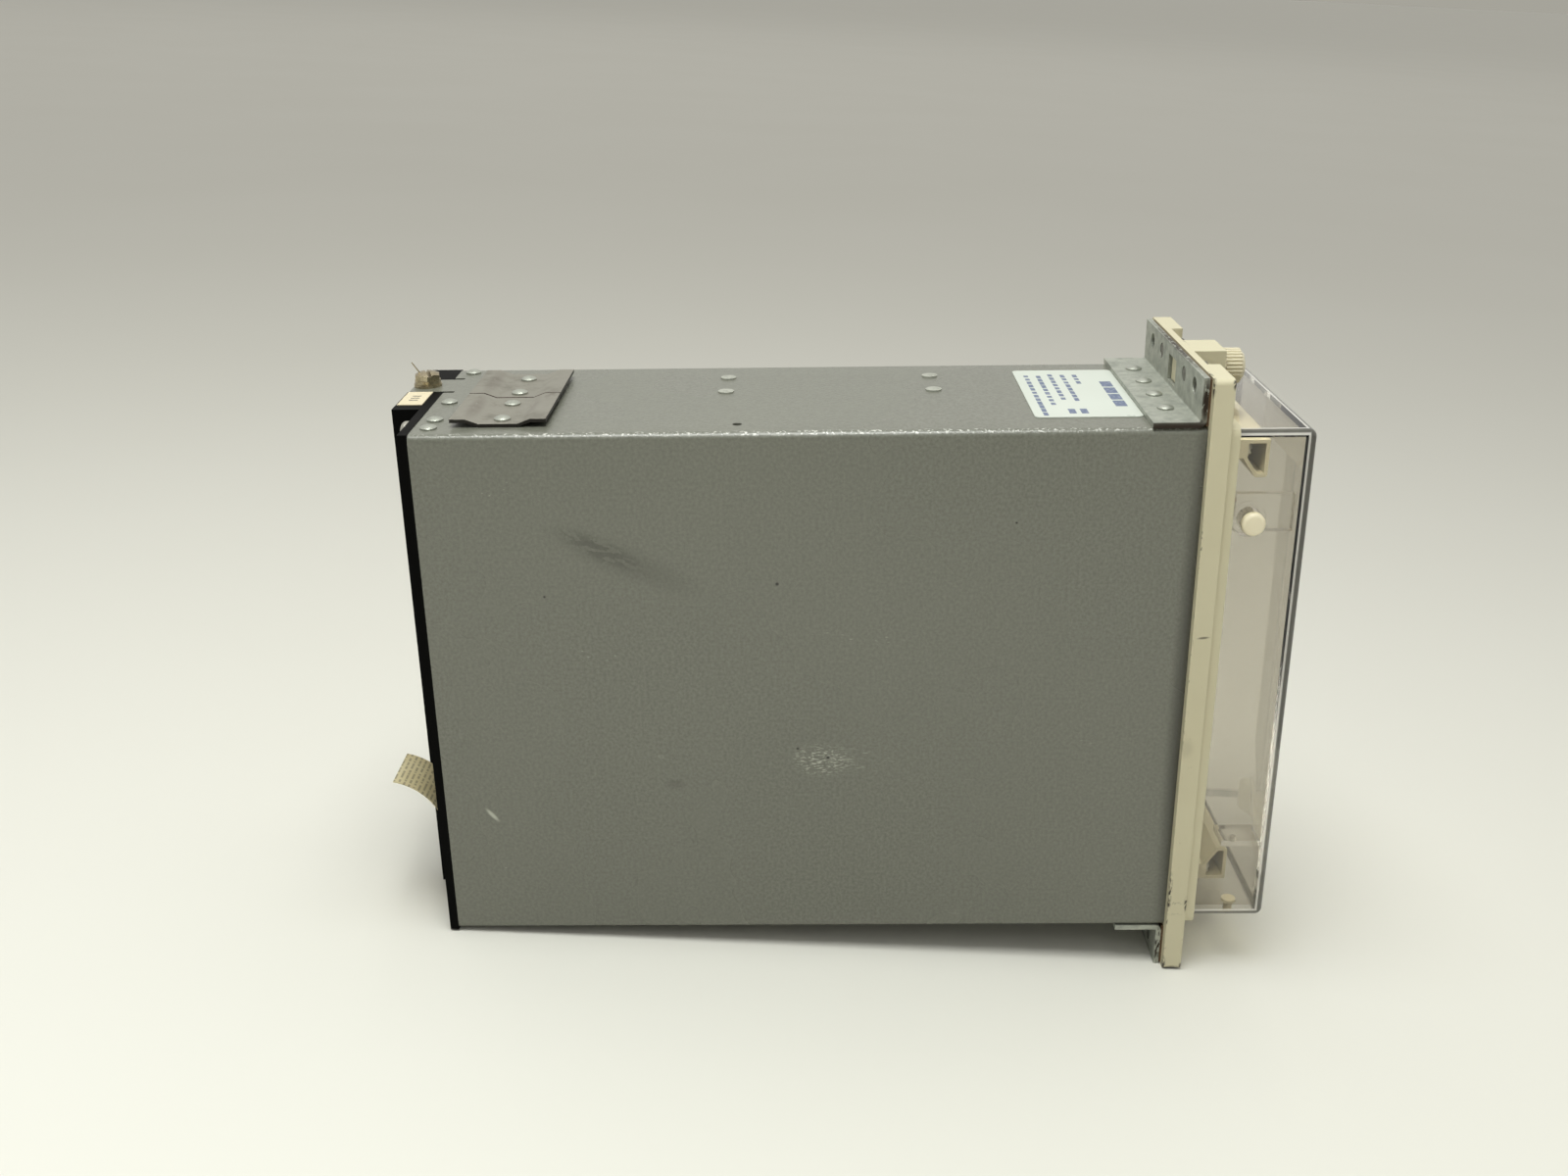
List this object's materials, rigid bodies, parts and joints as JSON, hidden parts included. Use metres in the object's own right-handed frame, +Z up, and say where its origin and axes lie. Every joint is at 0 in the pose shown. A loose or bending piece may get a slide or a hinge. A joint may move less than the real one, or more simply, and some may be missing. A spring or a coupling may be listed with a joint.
{
  "type": "protection relay",
  "caption": "Draw-out protection relay in a flush-mounting steel case with a cream frame, a clear screwed cover with a reset button, and a rear terminal block.",
  "frame": {"origin": "centre of the panel fixing holes, on the panel's front face that the mounting angles lie against", "axes": "+Y into the panel towards the terminals, +Z up, +X to the right seen from the front"},
  "size_m": [0.0776, 0.252, 0.177],
  "materials": {
    "case_paint": "fine textured paint, scratched",
    "galvanised_steel": "galvanised, dulled",
    "rivet_metal": "plain set rivets",
    "seal_strip": "aged cork and rubber strip",
    "cream_moulding": "moulded, slightly yellowed",
    "screw_steel": "zinc plated",
    "black_moulding": "moulded, satin",
    "brass_parts": "tarnished",
    "clear_moulding": "clear, polished",
    "label_film": "printed film, satin",
    "label_paper": "yellowed paper",
    "front_plate": "smooth paint",
    "lamp_red": "coloured lens",
    "circuit_board": "solder mask",
    "core_steel": "varnished laminations",
    "coil_winding": "taped copper winding",
    "relay_case": "moulded",
    "capacitor_sleeve": "sleeved can"
  },
  "bodies": {
    "case": {"case_shell": "case_paint", "top_mounting_angle": "galvanised_steel", "bottom_mounting_angle": "galvanised_steel", "angle_rivets": "rivet_metal", "frame_seal": "seal_strip", "front_frame": "cream_moulding", "frame_screws": "screw_steel", "near_clip_plate": "galvanised_steel", "far_clip_plate": "galvanised_steel", "clip_rivets": "rivet_metal", "guide_rivets": "rivet_metal", "rear_rivets": "rivet_metal", "upper_guide_rail": "black_moulding", "lower_guide_rail": "black_moulding", "terminal_block": "black_moulding", "terminal_plates": "brass_parts", "terminal_washers": "screw_steel", "terminal_screws": "screw_steel", "rear_blank_plate": "black_moulding", "rear_brackets": "galvanised_steel", "blank_plate_screws": "screw_steel", "earth_washers": "brass_parts", "earth_screw": "brass_parts", "top_label": "label_film", "block_sticker": "label_film", "peeled_label": "label_paper"},
    "module": {"module_front_plate": "front_plate", "nameplate": "label_film", "indicator_lamps": "lamp_red", "top_handle": "cream_moulding", "bottom_handle": "cream_moulding", "handle_screws": "screw_steel", "main_board": "circuit_board", "second_board": "circuit_board", "board_spacers": "brass_parts", "board_brackets": "galvanised_steel", "module_screws": "screw_steel", "transformer_core": "core_steel", "transformer_coil": "coil_winding", "output_relays": "relay_case", "capacitors": "capacitor_sleeve", "plug_block": "black_moulding", "plug_contacts": "brass_parts"},
    "cover": {"cover": "clear_moulding", "cover_plug": "cream_moulding", "button_spring": "screw_steel"},
    "upper_thumbscrew": {"upper_thumb_knob": "cream_moulding", "upper_thumb_stud": "screw_steel"},
    "lower_thumbscrew": {"lower_thumb_knob": "cream_moulding", "lower_thumb_stud": "screw_steel"},
    "reset_button": {"reset_button": "cream_moulding", "button_clip": "clear_moulding"}
  },
  "joints": [
    {"name": "module_slide", "type": "slide", "parent": "case", "child": "module", "axis": [0, -1, 0], "range_m": [0, 0.215]},
    {"name": "cover_slide", "type": "slide", "parent": "module", "child": "cover", "axis": [0, -1, 0], "range_m": [0, 0.06]},
    {"name": "upper_knob_turn", "type": "hinge", "parent": "cover", "child": "upper_thumbscrew", "pos_m": [0, -0.0162, 0.0828], "axis": [0, 1, 0], "continuous": true},
    {"name": "lower_knob_turn", "type": "hinge", "parent": "cover", "child": "lower_thumbscrew", "pos_m": [0, -0.0162, -0.0828], "axis": [0, 1, 0], "continuous": true},
    {"name": "button_press", "type": "slide", "parent": "cover", "child": "reset_button", "axis": [1, 0, 0], "range_m": [0, 0.0015], "stiffness_N_per_m": 300, "deforming": ["button_spring"]}
  ]
}
